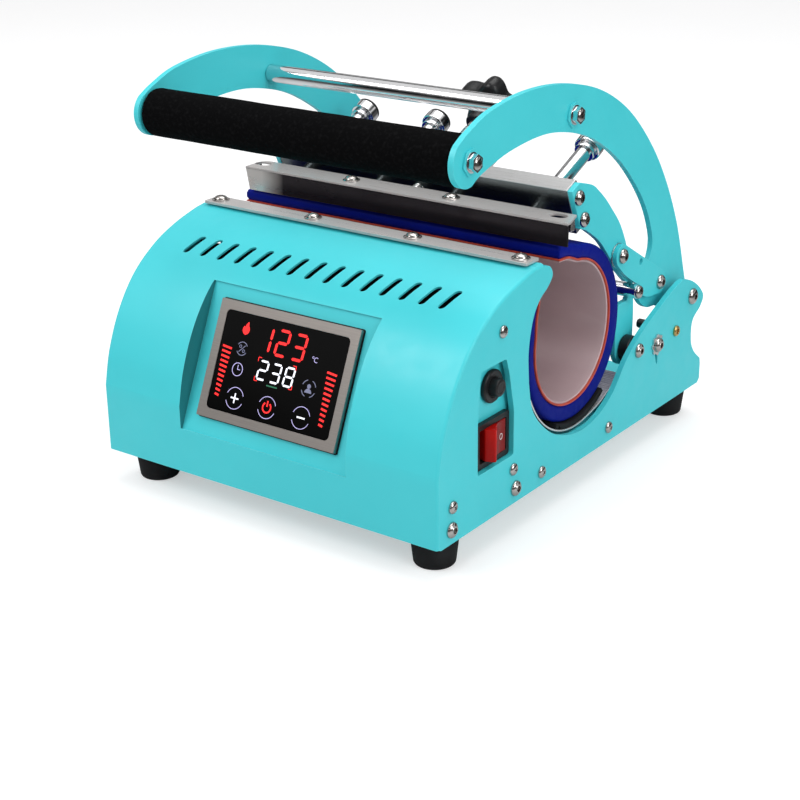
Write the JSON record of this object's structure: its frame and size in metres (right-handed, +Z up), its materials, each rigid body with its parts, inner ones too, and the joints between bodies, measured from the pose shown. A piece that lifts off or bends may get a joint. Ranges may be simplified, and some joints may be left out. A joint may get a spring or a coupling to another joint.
{
  "type": "mug heat press",
  "caption": "Benchtop mug heat press: folded sheet body with display, wrap-around heater mat, toggle clamp and bail handle with foam grip.",
  "frame": {"origin": "centre of the bounding box at floor level: midway between the side plates and between the front and rear edges", "axes": "+Z up, -Y the front with the display, +X the side with the power switch"},
  "size_m": [0.2886, 0.35, 0.2855],
  "materials": {
    "turquoise_paint": "satin powder coat",
    "stainless": "brushed",
    "chrome": "polished",
    "black_plastic": "matte",
    "black_rubber": "matte",
    "black_foam": "soft open foam",
    "blue_jacket": "satin silicone",
    "grey_liner": "smooth silicone",
    "red_plastic": "gloss",
    "dark_glass": "polished",
    "brass": "turned",
    "board_green": "matte"
  },
  "bodies": {
    "root": {"side_plate_right": "turquoise_paint", "side_plate_left": "turquoise_paint", "front_cover": "turquoise_paint", "base_plate": "turquoise_paint", "rear_panel": "turquoise_paint", "switch_bracket": "turquoise_paint", "display_bezel": "stainless", "cradle_tray": "stainless", "front_clamp_strip": "stainless", "limit_screw_right": "stainless", "limit_screw_left": "stainless", "handle_pivot_bolt_right": "stainless", "handle_pivot_bolt_left": "stainless", "clamp_pivot_bolt_right": "stainless", "clamp_pivot_bolt_left": "stainless", "body_bolt_right_1": "chrome", "body_bolt_right_2": "chrome", "body_bolt_left_1": "chrome", "body_bolt_left_2": "chrome", "strip_screw_1": "chrome", "strip_screw_2": "chrome", "strip_screw_3": "chrome", "strip_screw_4": "chrome", "mains_inlet": "black_plastic", "switch_housing": "black_plastic", "breaker_body": "black_plastic", "foot_front_right": "black_rubber", "foot_front_left": "black_rubber", "foot_rear_right": "black_rubber", "foot_rear_left": "black_rubber", "cradle_pad": "black_foam", "heater_mat": "blue_jacket", "heater_liner": "grey_liner", "display_glass": "dark_glass", "stop_pin_right": "brass", "stop_pin_left": "brass", "control_board": "board_green"},
    "handle": {"handle_arm_right": "turquoise_paint", "handle_arm_left": "turquoise_paint", "tie_rod": "chrome", "handle_tube": "stainless", "foam_grip": "black_foam"},
    "clamp": {"inner_arm_right": "turquoise_paint", "inner_arm_left": "turquoise_paint", "crossbar": "stainless", "cross_rod": "chrome", "link_pin_right": "chrome", "link_pin_left": "chrome", "upper_clamp_strip": "stainless", "clamp_bar": "black_plastic", "guide_rod_1": "chrome", "guide_rod_2": "chrome", "guide_rod_3": "chrome", "guide_rod_4": "chrome"},
    "links": {"link_right": "turquoise_paint", "link_left": "turquoise_paint"},
    "pressure_knob": {"pressure_screw": "stainless", "star_knob": "black_plastic"},
    "rocker": {"rocker_button": "red_plastic"},
    "breaker_reset": {"breaker_button": "black_plastic"}
  },
  "joints": [
    {"name": "handle_swing", "type": "hinge", "parent": "root", "child": "handle", "pos_m": [0, 0.155, 0.097], "axis": [-1, 0, 0], "range_deg": [0, 65]},
    {"name": "clamp_swing", "type": "hinge", "parent": "root", "child": "clamp", "pos_m": [0, 0.0747, 0.0788], "axis": [-1, 0, 0], "range_deg": [0, 25]},
    {"name": "link_swing", "type": "hinge", "parent": "clamp", "child": "links", "pos_m": [0, 0.06, 0.151], "axis": [1, 0, 0], "range_deg": [0, 46]},
    {"name": "knob_turn", "type": "hinge", "parent": "clamp", "child": "pressure_knob", "pos_m": [0, 0.01, 0.1937], "axis": [0, 0.9135, 0.4067], "continuous": true},
    {"name": "rocker_tilt", "type": "hinge", "parent": "root", "child": "rocker", "pos_m": [0.1312, -0.1082, 0.074], "axis": [0, 0, -1], "range_deg": [0, 34]},
    {"name": "breaker_press", "type": "slide", "parent": "root", "child": "breaker_reset", "axis": [1, 0, 0], "range_m": [-0.002, 0]}
  ],
  "couplings": [
    {"joint": "clamp_swing", "follows": "handle_swing", "ratio": 0.3787},
    {"joint": "link_swing", "follows": "handle_swing", "ratio": 0.7019}
  ]
}
